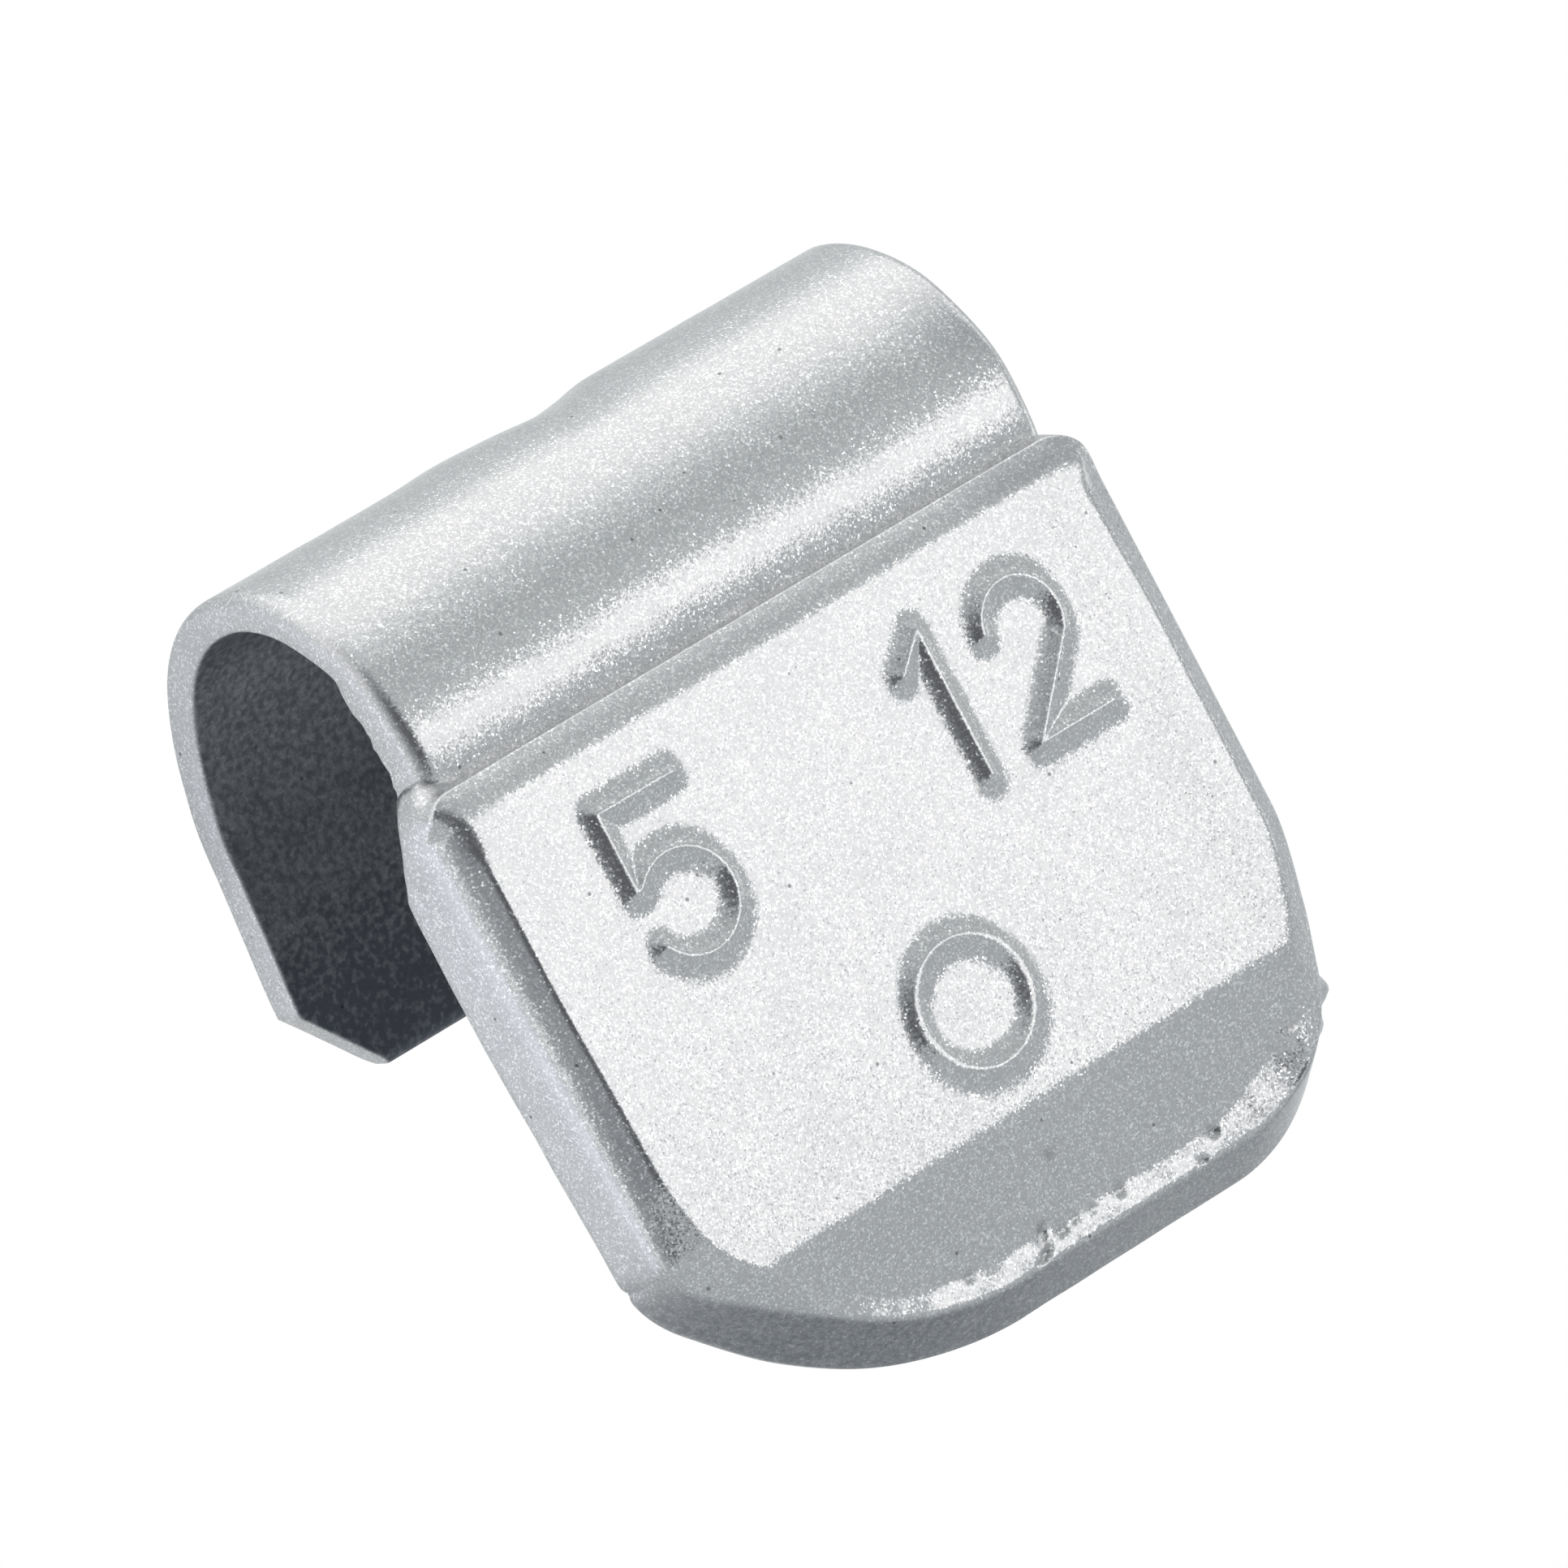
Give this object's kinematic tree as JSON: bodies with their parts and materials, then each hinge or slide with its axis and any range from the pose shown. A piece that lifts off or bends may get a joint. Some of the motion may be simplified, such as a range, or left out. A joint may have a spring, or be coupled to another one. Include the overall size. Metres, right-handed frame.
{
  "type": "wheel balance weight",
  "caption": "Clip-on wheel balance weight: a folded steel hook that grips a rim's lip, with a bevelled zinc body cast around its tongue, in silver flake paint.",
  "frame": {"origin": "on the centre line of the hook's inner arch, at the middle of its width", "axes": "+X along the rim's lip, +Y from the body's marked face to its back, +Z from the body up to the hook's crown, away from the wheel's centre"},
  "size_m": [0.0173, 0.01, 0.0195],
  "materials": {
    "clip_paint": "silver flake paint over spring steel, satin",
    "body_paint": "silver flake paint over die-cast zinc, satin, with small pits and flash"
  },
  "bodies": {
    "root": {"clip": "clip_paint", "weight_body": "body_paint"}
  },
  "joints": []
}
